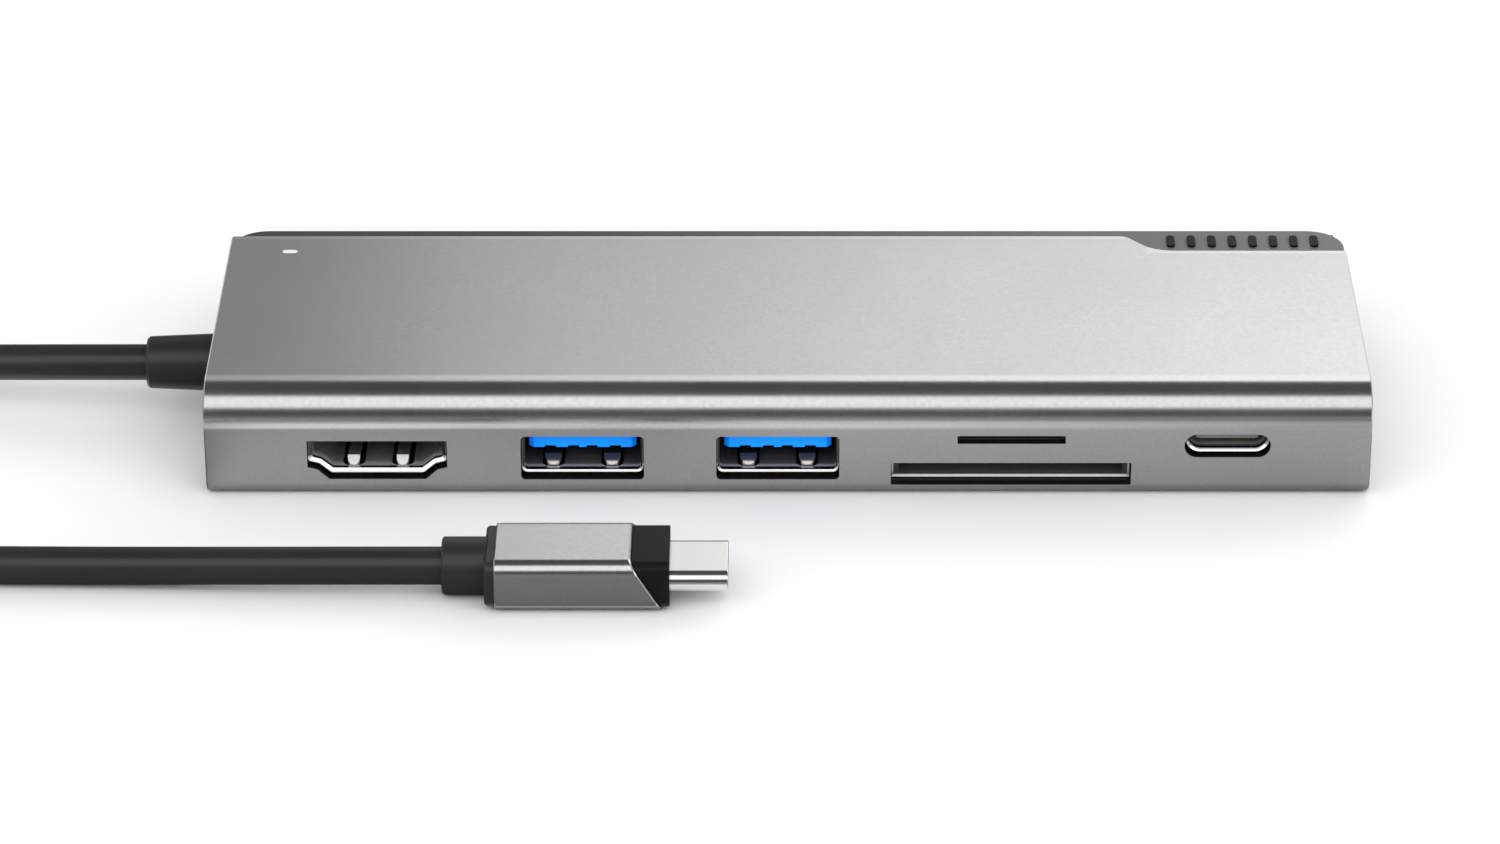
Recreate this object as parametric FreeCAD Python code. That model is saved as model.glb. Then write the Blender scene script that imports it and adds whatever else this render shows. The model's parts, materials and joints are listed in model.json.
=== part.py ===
"""USB hub: a flat aluminium and plastic case with a row of ports and a short captive USB-C lead."""

import FreeCAD
import Part
import math
import os

Vector = FreeCAD.Vector

# ---------------------------------------------------------------- case
LENGTH = 125.0  # along X
DEPTH = 40.0  # along Y, ports at the front (-Y)
HEIGHT = 12.0  # case alone, without the feet
FOOT_HEIGHT = 0.4  # the feet lift the case off the surface
SHELL_THICK = 1.0
TOP_ROUND = 3.7  # long rounded edge between the top and the port face
LIP_ROUND = 1.4  # small rounded edge under the port face
LIP_RETURN = 1.9  # how far the shell folds under the case
LIP_DROP = 0.25  # the folded lip is a little lower than the base plate
LIP_TOP = SHELL_THICK - LIP_DROP
END_RECESS = 0.15  # the chassis ends a little inside each end of the shell
END_EDGE = 0.15  # softened edge around each end of the shell
SHELL_BACK = 18.05  # rear edge of the shell over most of its length
SHELL_BACK_RIGHT = 14.38  # rear edge beside the wide part of the rear strip
STEP_UPPER_X = 37.95  # where the slanting step between the two edges starts
STEP_LOWER_X = 41.02
REAR_TOP = 11.7  # rear strip, a little lower than the shell
REAR_CORNER = 4.0  # rounding of the rear corners in plan
WALL = 1.6  # end walls of the chassis
REAR_WALL = 1.5
GAP = 0.05  # glue gap between the shell and the chassis
BASE_THICK = 1.0

FRONT_Y = -DEPTH / 2
BACK_Y = DEPTH / 2
END_X = LENGTH / 2
CHASSIS_END_X = END_X - END_RECESS
INNER_X = END_X - WALL
INNER_FRONT_Y = FRONT_Y + SHELL_THICK
INNER_BACK_Y = BACK_Y - REAR_WALL
INNER_TOP = HEIGHT - SHELL_THICK

# ---------------------------------------------------------------- board
BOARD_LOW = 4.2
BOARD_TOP = 5.0
BOARD_HALF_X = 60.4
BOARD_FRONT = -18.6
BOARD_BACK = 17.9
BOARD_SCREWS = [(-54.0, 8.0), (54.0, 8.0), (-32.4, -12.5), (55.5, -6.5), (0.0, 14.6)]
COVER_SCREWS = [(x, y) for x in (-57.4, 57.4) for y in (-15.0, 15.0)]

# ---------------------------------------------------------------- ports
SHEET = 0.3  # sheet metal of the port shells
RIM_FRONT = FRONT_Y + 0.25  # front of the metal rims that stand in the openings of the case
RIM_BACK = INNER_FRONT_Y + 0.1
RIM_CLEAR = 0.06
HDMI_X = -44.04
HDMI_LOW, HDMI_HIGH = 2.75, 7.3  # inside of the socket
HDMI_HALF = 7.0
HDMI_BACK = -7.6
HDMI_RIM, HDMI_BEVEL = 0.4, 0.3
HDMI_SPRING = 2.63  # from the middle to each spring
HDMI_HOLE_HALF, HDMI_HOLE_TOP = 7.5, 6.25  # opening of the case, which hides the top of the socket
HDMI_HOLE_GROW = 1.1  # by how much that opening is wider than the socket
USB_A_X = {"left": -22.04, "right": -1.08}
USB_A_LOW, USB_A_TOP = 2.62, 7.74  # inside of the socket
USB_A_WIDE, USB_A_HIGH = 12.5, USB_A_TOP - USB_A_LOW
USB_A_Z = (USB_A_LOW + USB_A_TOP) / 2
USB_A_BACK = -5.2
USB_A_RIM, USB_A_BEVEL = 0.22, 0.15
USB_A_SPRING = 3.16
USB_A_HOLE_WIDE = 13.2
USB_A_HOLE_LOW, USB_A_HOLE_TOP = 1.6, 6.8
USB_C_X, USB_C_Z = 47.1, 6.46
USB_C_WIDE, USB_C_HIGH = 8.34, 2.56  # inside of the socket
USB_C_FRONT, USB_C_BACK = -19.0, -11.6
USB_C_RIM, USB_C_BEVEL = 0.3, 0.26
USB_C_HOLE_WIDE = 9.25
USB_C_HOLE_LOW, USB_C_HOLE_TOP = 4.3, 7.05
SPRING_SLOT = 2.4  # width of the slot around a spring finger
CARD_X = 23.95
SD_WIDE = 24.1  # card channel
SD_LOW, SD_HIGH = 1.25, 3.65
SD_HOLE_LOW, SD_HOLE_HIGH = 0.95, 3.6
SD_FRONT, SD_BACK = -18.2, 8.0
MICRO_WIDE = 11.1  # card channel
MICRO_LOW, MICRO_HIGH = 6.0, 6.8
MICRO_FRONT, MICRO_BACK = -18.9, -4.2
MICRO_TRAVEL = 2.9  # how far an inserted card pushes the slider
LED_X, LED_Y = -55.65, 14.26

# ---------------------------------------------------------------- lead, on the surface that the hub stands on
CABLE_R = 2.0
EXIT_Y, EXIT_Z = -1.1, 6.0 + FOOT_HEIGHT
PLUG_Y, PLUG_Z = -40.6, 3.0
BOOT_END_X = -70.3
COLLAR_BACK_X = -36.0
FLANGE_BACK_X = -31.5
SLEEVE_BACK_X = -30.45
NOSE_END_X = -12.3
TIP_END_X = -6.2
CABLE_END_X = -29.6
PLUG_WIDE, PLUG_HIGH, PLUG_ROUND = 10.2, 5.8, 1.5
CABLE_ROUTE = [
    (-58.2, EXIT_Y, EXIT_Z),
    (-81.0, EXIT_Y, EXIT_Z),
    (-106.5, 7.3, 2.0),
    (-123.8, -3.7, 2.0),
    (-126.8, -23.2, 2.0),
    (-113.0, -38.2, 2.0),
    (-75.0, -38.9, 2.0),
    (-46.0, PLUG_Y, PLUG_Z),
    (CABLE_END_X, PLUG_Y, PLUG_Z),
]


# ================================================================ helpers
def box(x0, x1, y0, y1, z0, z1):
    return Part.makeBox(x1 - x0, y1 - y0, z1 - z0, Vector(x0, y0, z0))


def rod(start, axis, radius, length):
    return Part.makeCylinder(radius, length, Vector(*start), Vector(*axis))


def rounded_wire(corners, place):
    """Closed wire through (a, b, radius) corners, each rounded; place turns a, b into a point."""
    points = [Vector(a, b, 0) for a, b, _ in corners]
    count = len(points)
    ends = []
    for i, (_, _, radius) in enumerate(corners):
        here = points[i]
        back = (points[i - 1] - here).normalize()
        ahead = (points[(i + 1) % count] - here).normalize()
        if radius <= 0:
            ends.append((here, None, here))
            continue
        half = back.getAngle(ahead) / 2
        reach = radius / math.tan(half)
        middle = (back + ahead).normalize()
        nearest = middle * (radius / math.sin(half) - radius)
        ends.append((here + back * reach, here + nearest, here + ahead * reach))
    edges = []
    for i, (start, middle, end) in enumerate(ends):
        if middle is not None:
            edges.append(Part.Arc(place(start), place(middle), place(end)).toShape())
        following = ends[(i + 1) % count][0]
        if (following - end).Length > 1e-6:
            edges.append(Part.makeLine(place(end), place(following)))
    return Part.Wire(edges)


def prism_x(corners, x0, x1):
    """Prism along X of a (y, z, radius) outline."""
    wire = rounded_wire(corners, lambda p: Vector(x0, p.x, p.y))
    return Part.Face(wire).extrude(Vector(x1 - x0, 0, 0))


def prism_y(corners, y0, y1):
    """Prism along Y of an (x, z, radius) outline."""
    wire = rounded_wire(corners, lambda p: Vector(p.x, y0, p.y))
    return Part.Face(wire).extrude(Vector(0, y1 - y0, 0))


def prism_z(corners, z0, z1):
    """Prism along Z of an (x, y, radius) outline."""
    wire = rounded_wire(corners, lambda p: Vector(p.x, p.y, z0))
    return Part.Face(wire).extrude(Vector(0, 0, z1 - z0))


def rectangle(a, b, wide, high, radius=0.0):
    """Corners of a rounded rectangle centred on a, b."""
    radius = min(radius, wide / 2 - 1e-3, high / 2 - 1e-3)
    return [
        (a - wide / 2, b - high / 2, radius),
        (a + wide / 2, b - high / 2, radius),
        (a + wide / 2, b + high / 2, radius),
        (a - wide / 2, b + high / 2, radius),
    ]


def strip(path, thick, x, wide):
    """Bent strip of sheet: it follows (y, z) points with its middle plane and is wide along X."""
    sides = ([], [])
    for i, (y, z) in enumerate(path):
        here = Vector(y, z, 0)
        before = Vector(*path[max(i - 1, 0)], 0)
        after = Vector(*path[min(i + 1, len(path) - 1)], 0)
        came = (here - before).normalize() if i else (after - here).normalize()
        goes = (after - here).normalize() if i < len(path) - 1 else came
        along = (came + goes).normalize()
        reach = thick / 2 / along.dot(came)
        across = Vector(-along.y, along.x, 0) * reach
        for side, sign in zip(sides, (1, -1)):
            side.append((y + across.x * sign, z + across.y * sign, 0))
    return prism_x(sides[0] + sides[1][::-1], x - wide / 2, x + wide / 2)


def turned(profile, centre, axis_end):
    """Solid of revolution about an X axis through centre; profile is (x, radius) points."""
    points = [Vector(x, centre[0] + r, centre[1]) for x, r in profile]
    face = Part.Face(Part.makePolygon(points + points[:1]))
    return face.revolve(Vector(axis_end, *centre), Vector(1, 0, 0), 360)


def round_path(points, report=None):
    """Wire of straight runs joined by arcs as large as the runs allow."""
    points = [Vector(*p) for p in points]
    edges, start = [], points[0]
    for before, here, after in zip(points, points[1:], points[2:]):
        back, ahead = before - here, after - here
        reach = 0.45 * min(back.Length, ahead.Length)
        back.normalize()
        ahead.normalize()
        half_turn = (math.pi - back.getAngle(ahead)) / 2
        radius = reach / math.tan(half_turn)
        middle = (back + ahead).normalize() * (radius / math.cos(half_turn) - radius)
        enter, leave = here + back * reach, here + ahead * reach
        edges.append(Part.LineSegment(start, enter).toShape())
        edges.append(Part.Arc(enter, here + middle, leave).toShape())
        start = leave
        if report:
            print(f"{report}: radius {radius:.1f} mm at {tuple(round(v, 1) for v in here)}")
    edges.append(Part.LineSegment(start, points[-1]).toShape())
    return Part.Wire(edges)


def tube(points, radius, report=None):
    """Round solid that follows the rounded path through the points."""
    path = round_path(points, report)
    direction = Vector(*points[1]) - Vector(*points[0])
    ring = Part.Wire(Part.makeCircle(radius, Vector(*points[0]), direction))
    solid = path.makePipeShell([ring], True, False)
    if report:
        expected = math.pi * radius**2 * path.Length
        print(f"{report}: length {path.Length:.1f} mm, volume ratio {solid.Volume / expected:.4f}")
    return solid


def fused(first, *others):
    return first.multiFuse(list(others)).removeSplitter() if others else first


# ================================================================ case
def side_outline(inset, back, low):
    """Outline in the YZ plane: port face, rounded top edge and rounded lip."""
    return [
        (FRONT_Y + inset, low, max(LIP_ROUND - inset, 0.2)),
        (back, low, 0),
        (back, HEIGHT - inset, 0),
        (FRONT_Y + inset, HEIGHT - inset, TOP_ROUND - inset),
    ]


def shell_plan(gap=0.0):
    """Outline of the shell from above, with the stepped rear edge."""
    return [
        (-END_X - gap, FRONT_Y - 1, 0),
        (END_X + gap, FRONT_Y - 1, 0),
        (END_X + gap, SHELL_BACK_RIGHT + gap, 0.4),
        (STEP_LOWER_X + gap, SHELL_BACK_RIGHT + gap, 4.6),
        (STEP_UPPER_X + gap, SHELL_BACK + gap, 1.5),
        (-END_X - gap, SHELL_BACK + gap, 0.4),
    ]


def hdmi_outline(grow=0.0):
    """The stepped opening of the HDMI socket, grown outwards on every side."""
    right = [
        (4.8 + grow * 0.36, HDMI_LOW - grow),
        (6.1 + grow * 0.3, HDMI_LOW + 1.07 - grow * 0.93),
        (HDMI_HALF + grow, HDMI_LOW + 1.32 - grow * 0.76),
        (HDMI_HALF + grow, HDMI_HIGH + grow),
    ]
    left = [(-x, z) for x, z in right[::-1]]
    return [(HDMI_X + x, z, 0.2 + grow * 0.3) for x, z in right + left]


def usb_a_outline(x, grow=0.0):
    return rectangle(x, USB_A_Z, USB_A_WIDE + 2 * grow, USB_A_HIGH + 2 * grow, 0.4 + grow)


def usb_c_outline(grow=0.0):
    high = USB_C_HIGH + 2 * grow
    return rectangle(USB_C_X, USB_C_Z, USB_C_WIDE + 2 * grow, high, high / 2)


def hdmi_hole(inset=0.0):
    """Opening of the case around the HDMI socket."""
    y0, y1 = FRONT_Y - 1, INNER_FRONT_Y + 1
    half = HDMI_HOLE_HALF - inset
    limit = box(HDMI_X - half, HDMI_X + half, y0, y1, 0, HDMI_HOLE_TOP - inset)
    return prism_y(hdmi_outline(HDMI_HOLE_GROW - inset), y0, y1).common(limit)


def usb_a_hole(x, inset=0.0):
    middle, high = (USB_A_HOLE_LOW + USB_A_HOLE_TOP) / 2, USB_A_HOLE_TOP - USB_A_HOLE_LOW - 2 * inset
    outline = rectangle(x, middle, USB_A_HOLE_WIDE - 2 * inset, high, 0.5)
    return prism_y(outline, FRONT_Y - 1, INNER_FRONT_Y + 1)


def usb_c_hole(inset=0.0):
    middle, high = (USB_C_HOLE_LOW + USB_C_HOLE_TOP) / 2, USB_C_HOLE_TOP - USB_C_HOLE_LOW - 2 * inset
    outline = rectangle(USB_C_X, middle, USB_C_HOLE_WIDE - 2 * inset, high, high / 2)
    return prism_y(outline, FRONT_Y - 1, INNER_FRONT_Y + 1)


def port_holes():
    """Everything that is cut through the port face."""
    y0, y1 = FRONT_Y - 1, INNER_FRONT_Y + 1
    holes = [hdmi_hole(), usb_c_hole()]
    holes += [usb_a_hole(x) for x in USB_A_X.values()]
    micro_z = (MICRO_LOW + MICRO_HIGH) / 2
    holes.append(prism_y(rectangle(CARD_X, micro_z, MICRO_WIDE + 0.5, 0.95, 0.1), y0, y1))
    sd_z, sd_high = (SD_HOLE_LOW + SD_HOLE_HIGH) / 2, SD_HOLE_HIGH - SD_HOLE_LOW
    holes.append(prism_y(rectangle(CARD_X, sd_z, SD_WIDE + 1.7, sd_high, 0.15), y0, y1))
    return holes


def top_shell():
    folded = prism_x(side_outline(0, BACK_Y, -LIP_DROP), -END_X, END_X)
    inside = prism_x(side_outline(SHELL_THICK, BACK_Y + 5, LIP_TOP), -END_X, END_X)
    underneath = box(-END_X, END_X, FRONT_Y + LIP_RETURN, BACK_Y + 5, -1, LIP_TOP)
    led_slot = prism_z(rectangle(LED_X, LED_Y, 1.8, 0.95, 0.475), INNER_TOP - 1, HEIGHT + 1)
    ends = [e for e in folded.Edges if e.BoundBox.XLength < 1e-3 and abs(e.BoundBox.YMax - BACK_Y) > 1e-3]
    shell = folded.makeChamfer(END_EDGE, ends).cut([inside, underneath, led_slot] + port_holes())
    return shell.common(prism_z(shell_plan(), -1, HEIGHT + 1))


def chassis():
    """Plastic frame: rear wall and strip, end walls, ledges for the shell and blocks for the screws."""
    plan = [
        (-CHASSIS_END_X, FRONT_Y, 0.3),
        (CHASSIS_END_X, FRONT_Y, 0.3),
        (CHASSIS_END_X, BACK_Y, REAR_CORNER),
        (-CHASSIS_END_X, BACK_Y, REAR_CORNER),
    ]
    room = [
        (-INNER_X, FRONT_Y - 1, 0),
        (INNER_X, FRONT_Y - 1, 0),
        (INNER_X, INNER_BACK_Y, REAR_CORNER - WALL),
        (-INNER_X, INNER_BACK_Y, REAR_CORNER - WALL),
    ]
    body = prism_z(plan, 0, REAR_TOP).cut(prism_z(room, -1, HEIGHT + 1))
    body = body.common(prism_x(side_outline(0.12, BACK_Y + 1, 0), -END_X, END_X))
    ledge = box(-INNER_X - 0.5, INNER_X + 0.5, INNER_BACK_Y - 1.6, INNER_BACK_Y + 0.5, 9.9, INNER_TOP)
    shelf = box(36.5, INNER_X + 0.5, SHELL_BACK_RIGHT - 1.5, INNER_BACK_Y + 0.5, 9.9, REAR_TOP)
    blocks = []
    for x, y in COVER_SCREWS:
        side = math.copysign(1, x)
        near, far = sorted((side * 54.8, side * (INNER_X + 0.2)))
        front, back = (-18.3, -12.4) if y < 0 else (12.4, INNER_BACK_Y + 0.2)
        blocks.append(box(near, far, front, back, BASE_THICK, 3.9))
    body = fused(body, ledge, shelf, *blocks)

    skin = prism_x(side_outline(-1, BACK_Y + 5, -1), -END_X - GAP, END_X + GAP)
    skin = skin.cut(prism_x(side_outline(SHELL_THICK + GAP, BACK_Y + 6, -2), -END_X, END_X))
    lip_high = LIP_TOP + LIP_ROUND - SHELL_THICK + GAP
    lip = box(-END_X - GAP, END_X + GAP, FRONT_Y - 1, FRONT_Y + LIP_RETURN + GAP, -1, lip_high)
    over = prism_z(shell_plan(GAP), INNER_TOP, HEIGHT + 1)
    skin = skin.common(prism_z(shell_plan(GAP), -2, INNER_TOP))
    pilots = [rod((x, y, 0), (0, 0, 1), 0.98, 3.4) for x, y in COVER_SCREWS]
    cable_hole = rod((-END_X - 1, EXIT_Y, EXIT_Z - FOOT_HEIGHT), (1, 0, 0), 2.8, 4)
    return body.cut([skin, lip, over, cable_hole] + pilots)


def trim_bars():
    """Raised bars on the wide part of the rear strip."""
    bars = []
    for i in range(8):
        outline = rectangle(43.0 + 2.3 * i, 17.1, 0.9, 2.6, 0.44)
        bars.append(prism_z(outline, REAR_TOP, HEIGHT - 0.05))
    return bars


def base_plate():
    plan = [
        (-INNER_X + 0.1, FRONT_Y + LIP_RETURN + 0.1, 0.5),
        (INNER_X - 0.1, FRONT_Y + LIP_RETURN + 0.1, 0.5),
        (INNER_X - 0.1, INNER_BACK_Y - 0.1, REAR_CORNER - WALL),
        (-INNER_X + 0.1, INNER_BACK_Y - 0.1, REAR_CORNER - WALL),
    ]
    plate = prism_z(plan, 0, BASE_THICK)
    foot = BASE_THICK / 2
    bosses = [rod((x, y, foot), (0, 0, 1), 2.1, BOARD_LOW - foot) for x, y in BOARD_SCREWS]
    plate = fused(plate, *bosses)
    holes = [rod((x, y, BASE_THICK + 0.3), (0, 0, 1), 0.78, 4) for x, y in BOARD_SCREWS]
    holes += [rod((x, y, -1), (0, 0, 1), 1.1, 4) for x, y in COVER_SCREWS]
    holes += [rod((x, y, -1), (0, 0, 1), 1.95, 1.5) for x, y in COVER_SCREWS]
    return plate.cut(holes)


def screw(x, y, head_low, head_high, head_r, tip, shank_r, up):
    """Small pan-head screw on a vertical axis, with a cross recess; up is +1 where its head is on top."""
    head = rod((x, y, head_low), (0, 0, 1), head_r, head_high - head_low)
    under, outer = (head_low, head_high) if up > 0 else (head_high, head_low)
    low, high = sorted((tip, under))
    shank = rod((x, y, low), (0, 0, 1), shank_r, high - low)
    recess_low, recess_high = sorted((outer, outer - up * 0.3))
    arms = [
        box(x - a, x + a, y - b, y + b, recess_low, recess_high)
        for a, b in ((head_r * 0.55, 0.18), (0.18, head_r * 0.55))
    ]
    return head.fuse(shank).cut(arms)


def cover_screws():
    return [screw(x, y, 0.02, 0.5, 1.8, 3.2, 0.95, -1) for x, y in COVER_SCREWS]


def board_screws():
    return [screw(x, y, BOARD_TOP, BOARD_TOP + 1.0, 1.7, 1.6, 0.75, 1) for x, y in BOARD_SCREWS]


def feet():
    pads = []
    for x, y in COVER_SCREWS:
        pad = rod((x, y, -FOOT_HEIGHT), (0, 0, 1), 3.0, FOOT_HEIGHT)
        lower = [e for e in pad.Edges if e.BoundBox.ZMax < -FOOT_HEIGHT + 1e-3]
        pads.append(pad.makeChamfer(0.15, lower))
    return pads


# ================================================================ board
def main_board():
    middle = (BOARD_FRONT + BOARD_BACK) / 2
    plan = rectangle(0, middle, 2 * BOARD_HALF_X, BOARD_BACK - BOARD_FRONT, 1.5)
    board = prism_z(plan, BOARD_LOW, BOARD_TOP)
    low, high = BOARD_LOW - 1, BOARD_TOP + 1
    front = BOARD_FRONT - 1
    cuts = [box(HDMI_X - 7.5, HDMI_X + 7.5, front, HDMI_BACK + 0.6, low, high)]
    for x in USB_A_X.values():
        cuts.append(box(x - 6.7, x + 6.7, front, USB_A_BACK + 0.4, low, high))
    cuts.append(box(USB_C_X - 4.6, USB_C_X + 4.6, front, USB_C_BACK + 0.1, low, high))
    cuts.append(box(-BOARD_HALF_X - 1, -57.4, EXIT_Y - 4.3, EXIT_Y + 4.3, low, high))
    cuts += [rod((x, y, low), (0, 0, 1), 1.0, high - low) for x, y in BOARD_SCREWS]
    return board.cut(cuts)


def chip(x, y, wide, deep, high):
    """Flat square package on the board with a small dimple at pin one."""
    body = box(x - wide / 2, x + wide / 2, y - deep / 2, y + deep / 2, BOARD_TOP, BOARD_TOP + high)
    dimple = rod((x - wide / 2 + 0.9, y + deep / 2 - 0.9, BOARD_TOP + high - 0.05), (0, 0, 1), 0.35, 1)
    return body.cut(dimple)


HUB_CHIP = (-12.0, 6.5, 9.0, 9.0, 0.85)
VIDEO_CHIP = (-38.0, 4.0, 8.0, 8.0, 0.85)


def thermal_pads():
    """Soft pads that carry the two warm chips' heat to the shell."""
    pads = []
    for x, y, wide, deep, high in (HUB_CHIP, VIDEO_CHIP):
        outline = rectangle(x, y, wide + 1, deep + 1, 0.8)
        pads.append(prism_z(outline, BOARD_TOP + high, INNER_TOP))
    return pads


def small_parts(places, wide, deep, high):
    return [
        box(x - wide / 2, x + wide / 2, y - deep / 2, y + deep / 2, BOARD_TOP, BOARD_TOP + high)
        for x, y in places
    ]


def inductors():
    coils = []
    for x, y in ((44.0, 9.5), (37.5, 9.5), (15.0, 9.0)):
        coils.append(prism_z(rectangle(x, y, 4.0, 4.0, 0.6), BOARD_TOP, BOARD_TOP + 2.0))
    return coils


def capacitors():
    ring = [(-5.9, 0), (5.9, 0), (0, -6.3)]
    places = [(cx + dx, cy + dy) for cx, cy in (HUB_CHIP[:2], VIDEO_CHIP[:2], (28.0, 6.0)) for dx, dy in ring]
    places += [(40.5, 2.5), (40.5, 0.5), (50.5, 1.0)]
    return small_parts(places, 1.2, 2.0, 1.0)


def light_pipe():
    """Clear stadium-shaped pin that carries the lamp's light to the top, on a flange under the shell."""
    pin = prism_z(rectangle(LED_X, LED_Y, 1.7, 0.85, 0.42), BOARD_TOP + 0.8, HEIGHT - 0.03)
    flange = prism_z(rectangle(LED_X, LED_Y, 3.2, 2.4, 1.1), INNER_TOP - 0.8, INNER_TOP)
    return fused(pin, flange)


# ================================================================ sockets
def socket_foot(x_side, sign, y, long):
    """Foot that a socket's shell stands on the board with."""
    near, far = sorted((x_side - sign * 0.2, x_side + sign * 1.3))
    return box(near, far, y, y + long, BOARD_TOP, BOARD_TOP + SHEET)


def socket_rim(outline, hole, thick, bevel):
    """Rim of a socket's shell inside the opening of the case, bevelled towards the inside."""
    rim = prism_y(outline(thick), RIM_FRONT, RIM_BACK).common(hole)
    wires = [
        rounded_wire(outline(bevel + 0.1), lambda p: Vector(p.x, RIM_FRONT - 0.1, p.y)),
        rounded_wire(outline(), lambda p: Vector(p.x, RIM_FRONT + bevel, p.y)),
    ]
    return rim.cut([Part.makeLoft(wires, True, True), prism_y(outline(), RIM_FRONT, RIM_BACK + 1)])


def socket_spring(path, x, wide, tip_y):
    """Spring finger cut out of a shell's wall, with a round end."""
    root_y = path[0][0]
    plan = prism_z(rectangle(x, (tip_y + root_y) / 2, wide, root_y - tip_y, wide * 0.45), 0, HEIGHT)
    back = box(x - wide, x + wide, root_y - 1, root_y + 1, 0, HEIGHT)
    return strip(path, 0.22, x, wide).common(plan.fuse(back))


def spring_window(x, wall, wide, y0, y1):
    """Slot around a spring finger, rounded in plan."""
    return prism_z(rectangle(x, (y0 + y1) / 2, wide, y1 - y0, wide * 0.4), wall - 0.5, wall + 0.5)


def hdmi_shell():
    outer = prism_y(hdmi_outline(SHEET), INNER_FRONT_Y, HDMI_BACK)
    inner = prism_y(hdmi_outline(), INNER_FRONT_Y - 1, HDMI_BACK - SHEET)
    shell = outer.cut(inner)
    rim = socket_rim(hdmi_outline, hdmi_hole(RIM_CLEAR), HDMI_RIM, HDMI_BEVEL)
    springs, windows = [], []
    for dx in (-HDMI_SPRING, HDMI_SPRING):
        for wall, inward in ((HDMI_LOW - SHEET / 2, 1), (HDMI_HIGH + SHEET / 2, -1)):
            x = HDMI_X + dx
            windows.append(spring_window(x, wall, SPRING_SLOT, RIM_BACK, -12.4))
            path = [(-11.6, wall), (-13.2, wall), (-18.1, wall + inward * 0.92)]
            path.append((-18.78, wall + inward * 0.05))
            springs.append(socket_spring(path, x, 1.3, -18.82))
    feet_ = [
        socket_foot(HDMI_X + sign * (HDMI_HALF + SHEET), sign, y, 1.6)
        for sign in (-1, 1)
        for y in (-17.4, -10.4)
    ]
    return fused(shell.cut(windows), rim, *springs, *feet_)


def hdmi_contacts():
    """Nineteen contacts: ten over the tongue and nine under it."""
    pins = []
    for i in range(19):
        x = HDMI_X + (i - 9) * 0.5
        z = 5.62 if i % 2 == 0 else 4.58
        y_tail = -5.9 if i % 2 == 0 else -6.5
        tail_z = BOARD_TOP + 0.08
        path = [(-15.9, z), (HDMI_BACK - 0.1, z), (HDMI_BACK + 0.3, tail_z), (y_tail, tail_z)]
        pins.append(strip(path, 0.15, x, 0.28))
    return pins


def hdmi_insert():
    tongue = prism_y(rectangle(HDMI_X, 5.1, 10.4, 1.2, 0.15), -16.4, -10.0)
    block = prism_y(hdmi_outline(-0.02), -10.2, HDMI_BACK - SHEET)
    tail_room = box(HDMI_X - 5.2, HDMI_X + 5.2, HDMI_BACK - SHEET - 0.1, HDMI_BACK + 1, 4.4, 5.8)
    return fused(tongue, block).cut(hdmi_contacts() + [tail_room])


def usb_a_shell(x):
    def outline(grow=0.0):
        return usb_a_outline(x, grow)

    shell = prism_y(outline(SHEET), INNER_FRONT_Y, USB_A_BACK)
    shell = shell.cut(prism_y(outline(), INNER_FRONT_Y - 1, USB_A_BACK - SHEET))
    rim = socket_rim(outline, usb_a_hole(x, RIM_CLEAR), USB_A_RIM, USB_A_BEVEL)
    springs, windows = [], []
    for dx in (-USB_A_SPRING, USB_A_SPRING):
        for inward in (1, -1):
            wall = USB_A_Z - inward * (USB_A_HIGH + SHEET) / 2
            rise = 1.0 if inward > 0 else 0.45
            windows.append(spring_window(x + dx, wall, SPRING_SLOT, RIM_BACK, -12.9))
            path = [(-12.1, wall), (-13.6, wall), (-17.7, wall + inward * rise)]
            path += [(-18.3, wall + inward * 0.6 * rise), (-18.6, wall + inward * 0.1)]
            springs.append(socket_spring(path, x + dx, 1.8, -18.65))
    feet_ = [
        socket_foot(x + sign * (USB_A_WIDE / 2 + SHEET), sign, y, 1.8)
        for sign in (-1, 1)
        for y in (-16.5, -8.5)
    ]
    return fused(shell.cut(windows), rim, *springs, *feet_)


TONGUE_HIGH = USB_A_LOW + 3.82
TONGUE_LOW = TONGUE_HIGH - 1.84


def usb_a_contacts(x):
    """Four sprung contacts and five flat ones in front of them, all under the tongue."""
    pins = []
    for dx in (-3.5, -1.0, 1.0, 3.5):
        z = TONGUE_LOW + 0.12
        tail = [(-5.6, z), (-5.1, BOARD_TOP + 0.1), (-4.1, BOARD_TOP + 0.1)]
        bump = [(-15.2, z), (-14.4, TONGUE_LOW - 0.22), (-13.4, TONGUE_LOW - 0.22), (-12.2, z)]
        pins.append(strip(bump + tail, 0.18, x + dx, 0.9))
    for dx in (-4.5, -2.2, 0.0, 2.2, 4.5):
        tail = [(-5.3, TONGUE_LOW + 1.0), (-4.9, BOARD_TOP + 0.1), (-3.2, BOARD_TOP + 0.1)]
        front = [(-17.4, TONGUE_LOW + 0.02), (-15.8, TONGUE_LOW + 0.02), (-15.5, TONGUE_LOW + 1.0)]
        pins.append(strip(front + tail, 0.16, x + dx, 0.55))
    return pins


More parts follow.
